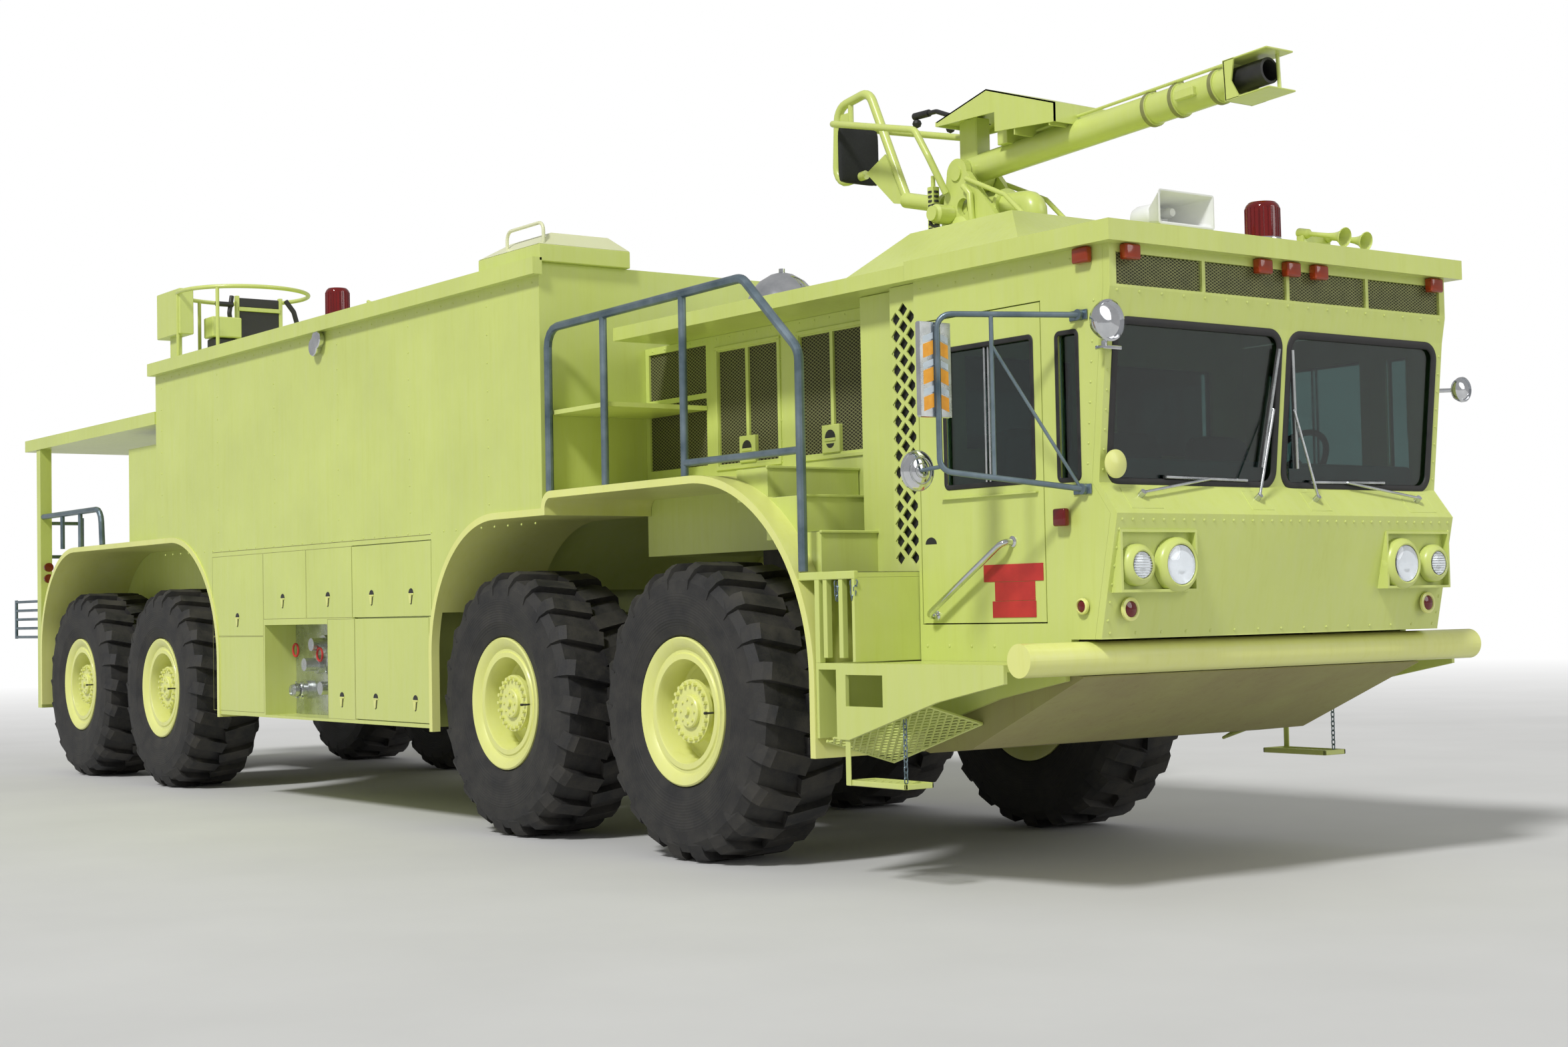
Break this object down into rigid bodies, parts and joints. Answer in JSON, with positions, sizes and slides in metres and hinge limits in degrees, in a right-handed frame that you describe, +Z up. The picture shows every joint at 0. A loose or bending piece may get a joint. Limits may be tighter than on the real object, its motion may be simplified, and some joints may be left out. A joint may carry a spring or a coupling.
{
  "type": "airport fire truck",
  "caption": "Eight-wheel airport crash tender with a forward cab, roof and rear foam turrets, a closed tank body, side walkways with handrails and a rear deck under a canopy.",
  "frame": {"origin": "middle of the truck's length and width, on the ground under the tyres", "axes": "+X forward, +Y to the truck's left, +Z up"},
  "size_m": [13.844, 3.484, 4.2105],
  "materials": {
    "body_paint": "semi-gloss lime yellow paint",
    "fender_paint": "bright lime yellow paint",
    "chassis_paint": "dusty lime yellow paint in shade",
    "suspension_steel": "black spring steel",
    "glass": "clear tinted glass",
    "cab_trim": "black vinyl and trim",
    "screen_mesh": "dark expanded mesh",
    "engine_block": "dark cast iron",
    "valves": "chrome valves on a painted panel",
    "rail_tube": "galvanised tube",
    "lamp_chrome": "chrome and lenses",
    "mirror_steel": "bright steel tube",
    "hatch_paint": "pale lime paint",
    "rim_paint": "bright lime yellow paint",
    "tyre": "black tyre rubber"
  },
  "bodies": {
    "chassis": {"frame_rails": "chassis_paint", "axles": "chassis_paint", "suspension": "suspension_steel", "cab_floor": "chassis_paint", "cab_walls": "body_paint", "cab_front": "body_paint", "cab_roof": "body_paint", "cab_glass": "glass", "cab_interior": "cab_trim", "bumper": "fender_paint", "side_steps": "body_paint", "front_fenders": "fender_paint", "engine_housing": "body_paint", "housing_screens": "screen_mesh", "engines": "engine_block", "tank_body": "body_paint", "valve_panel": "valves", "handrails": "rail_tube", "rear_fenders": "fender_paint", "rear_house": "body_paint", "canopy": "body_paint", "rear_rails": "rail_tube", "lamps_and_horns": "lamp_chrome", "mirrors": "mirror_steel", "wipers": "mirror_steel", "turret_bases": "body_paint"},
    "knuckle_f1_right": {"knuckle_f1_right": "chassis_paint"},
    "knuckle_f1_left": {"knuckle_f1_left": "chassis_paint"},
    "knuckle_f2_right": {"knuckle_f2_right": "chassis_paint"},
    "knuckle_f2_left": {"knuckle_f2_left": "chassis_paint"},
    "wheel_f1_right": {"wheel_f1_right": "rim_paint", "tyre_f1_right": "tyre"},
    "wheel_f1_left": {"wheel_f1_left": "rim_paint", "tyre_f1_left": "tyre"},
    "wheel_f2_right": {"wheel_f2_right": "rim_paint", "tyre_f2_right": "tyre"},
    "wheel_f2_left": {"wheel_f2_left": "rim_paint", "tyre_f2_left": "tyre"},
    "wheel_r1_right": {"wheel_r1_right": "rim_paint", "tyre_r1_right": "tyre"},
    "wheel_r1_left": {"wheel_r1_left": "rim_paint", "tyre_r1_left": "tyre"},
    "wheel_r2_right": {"wheel_r2_right": "rim_paint", "tyre_r2_right": "tyre"},
    "wheel_r2_left": {"wheel_r2_left": "rim_paint", "tyre_r2_left": "tyre"},
    "cab_door_right": {"cab_door_right": "body_paint", "door_glass_right": "glass"},
    "cab_door_left": {"cab_door_left": "body_paint", "door_glass_left": "glass"},
    "turret_front": {"turret_front_mount": "body_paint"},
    "barrel_front": {"turret_front_barrel": "body_paint"},
    "turret_rear": {"turret_rear_mount": "body_paint"},
    "barrel_rear": {"turret_rear_barrel": "body_paint"},
    "tank_hatch": {"tank_hatch": "hatch_paint"},
    "locker_upper_right": {"locker_upper_right": "body_paint"},
    "locker_upper_left": {"locker_upper_left": "body_paint"},
    "locker_lower_right": {"locker_lower_right": "body_paint"},
    "locker_lower_left": {"locker_lower_left": "body_paint"}
  },
  "joints": [
    {"name": "steer_f1_right", "type": "hinge", "parent": "chassis", "child": "knuckle_f1_right", "pos_m": [3.998, -0.98, 0.778], "axis": [0, 0, 1], "range_deg": [-20, 20]},
    {"name": "steer_f1_left", "type": "hinge", "parent": "chassis", "child": "knuckle_f1_left", "pos_m": [3.998, 0.98, 0.778], "axis": [0, 0, 1], "range_deg": [-20, 20]},
    {"name": "steer_f2_right", "type": "hinge", "parent": "chassis", "child": "knuckle_f2_right", "pos_m": [2.118, -0.98, 0.778], "axis": [0, 0, 1], "range_deg": [-15.6, 15.6]},
    {"name": "steer_f2_left", "type": "hinge", "parent": "chassis", "child": "knuckle_f2_left", "pos_m": [2.118, 0.98, 0.778], "axis": [0, 0, 1], "range_deg": [-15.6, 15.6]},
    {"name": "roll_f1_right", "type": "hinge", "parent": "knuckle_f1_right", "child": "wheel_f1_right", "pos_m": [3.998, -1.2, 0.778], "axis": [0, 1, 0], "continuous": true},
    {"name": "roll_f1_left", "type": "hinge", "parent": "knuckle_f1_left", "child": "wheel_f1_left", "pos_m": [3.998, 1.2, 0.778], "axis": [0, 1, 0], "continuous": true},
    {"name": "roll_f2_right", "type": "hinge", "parent": "knuckle_f2_right", "child": "wheel_f2_right", "pos_m": [2.118, -1.2, 0.778], "axis": [0, 1, 0], "continuous": true},
    {"name": "roll_f2_left", "type": "hinge", "parent": "knuckle_f2_left", "child": "wheel_f2_left", "pos_m": [2.118, 1.2, 0.778], "axis": [0, 1, 0], "continuous": true},
    {"name": "roll_r1_right", "type": "hinge", "parent": "chassis", "child": "wheel_r1_right", "pos_m": [-3.41, -1.2, 0.778], "axis": [0, 1, 0], "continuous": true},
    {"name": "roll_r1_left", "type": "hinge", "parent": "chassis", "child": "wheel_r1_left", "pos_m": [-3.41, 1.2, 0.778], "axis": [0, 1, 0], "continuous": true},
    {"name": "roll_r2_right", "type": "hinge", "parent": "chassis", "child": "wheel_r2_right", "pos_m": [-5.29, -1.2, 0.778], "axis": [0, 1, 0], "continuous": true},
    {"name": "roll_r2_left", "type": "hinge", "parent": "chassis", "child": "wheel_r2_left", "pos_m": [-5.29, 1.2, 0.778], "axis": [0, 1, 0], "continuous": true},
    {"name": "door_right", "type": "hinge", "parent": "chassis", "child": "cab_door_right", "pos_m": [6.423, -1.138, 1.9], "axis": [0, 0, 1], "range_deg": [0, 60]},
    {"name": "door_left", "type": "hinge", "parent": "chassis", "child": "cab_door_left", "pos_m": [6.423, 1.138, 1.9], "axis": [0, 0, 1], "range_deg": [-60, 0]},
    {"name": "turret_front_turn", "type": "hinge", "parent": "chassis", "child": "turret_front", "pos_m": [4.72, 0, 3.2], "axis": [0, 0, 1], "range_deg": [-90, 90]},
    {"name": "turret_front_lift", "type": "hinge", "parent": "turret_front", "child": "barrel_front", "pos_m": [4.72, 0, 3.6], "axis": [0, -1, 0], "range_deg": [-15, 30]},
    {"name": "turret_rear_turn", "type": "hinge", "parent": "chassis", "child": "turret_rear", "pos_m": [-2.35, 0, 3.35], "axis": [0, 0, 1], "range_deg": [-120, 120]},
    {"name": "turret_rear_lift", "type": "hinge", "parent": "turret_rear", "child": "barrel_rear", "pos_m": [-2.35, 0, 3.621], "axis": [0, -1, 0], "range_deg": [-10, 45]},
    {"name": "hatch_lift", "type": "hinge", "parent": "chassis", "child": "tank_hatch", "pos_m": [2, -1.22, 3.301], "axis": [0, -1, 0], "range_deg": [0, 85]},
    {"name": "locker_upper_right_lift", "type": "hinge", "parent": "chassis", "child": "locker_upper_right", "pos_m": [0.77, -1.524, 1.765], "axis": [1, 0, 0], "range_deg": [-100, 0]},
    {"name": "locker_upper_left_lift", "type": "hinge", "parent": "chassis", "child": "locker_upper_left", "pos_m": [0.77, 1.524, 1.765], "axis": [1, 0, 0], "range_deg": [0, 100]},
    {"name": "locker_lower_right_lift", "type": "hinge", "parent": "chassis", "child": "locker_lower_right", "pos_m": [0.77, -1.524, 1.292], "axis": [1, 0, 0], "range_deg": [-100, 0]},
    {"name": "locker_lower_left_lift", "type": "hinge", "parent": "chassis", "child": "locker_lower_left", "pos_m": [0.77, 1.524, 1.292], "axis": [1, 0, 0], "range_deg": [0, 100]}
  ],
  "couplings": [
    {"joint": "steer_f1_left", "follows": "steer_f1_right", "ratio": 1},
    {"joint": "steer_f2_right", "follows": "steer_f1_right", "ratio": 0.78},
    {"joint": "steer_f2_left", "follows": "steer_f1_right", "ratio": 0.78}
  ]
}
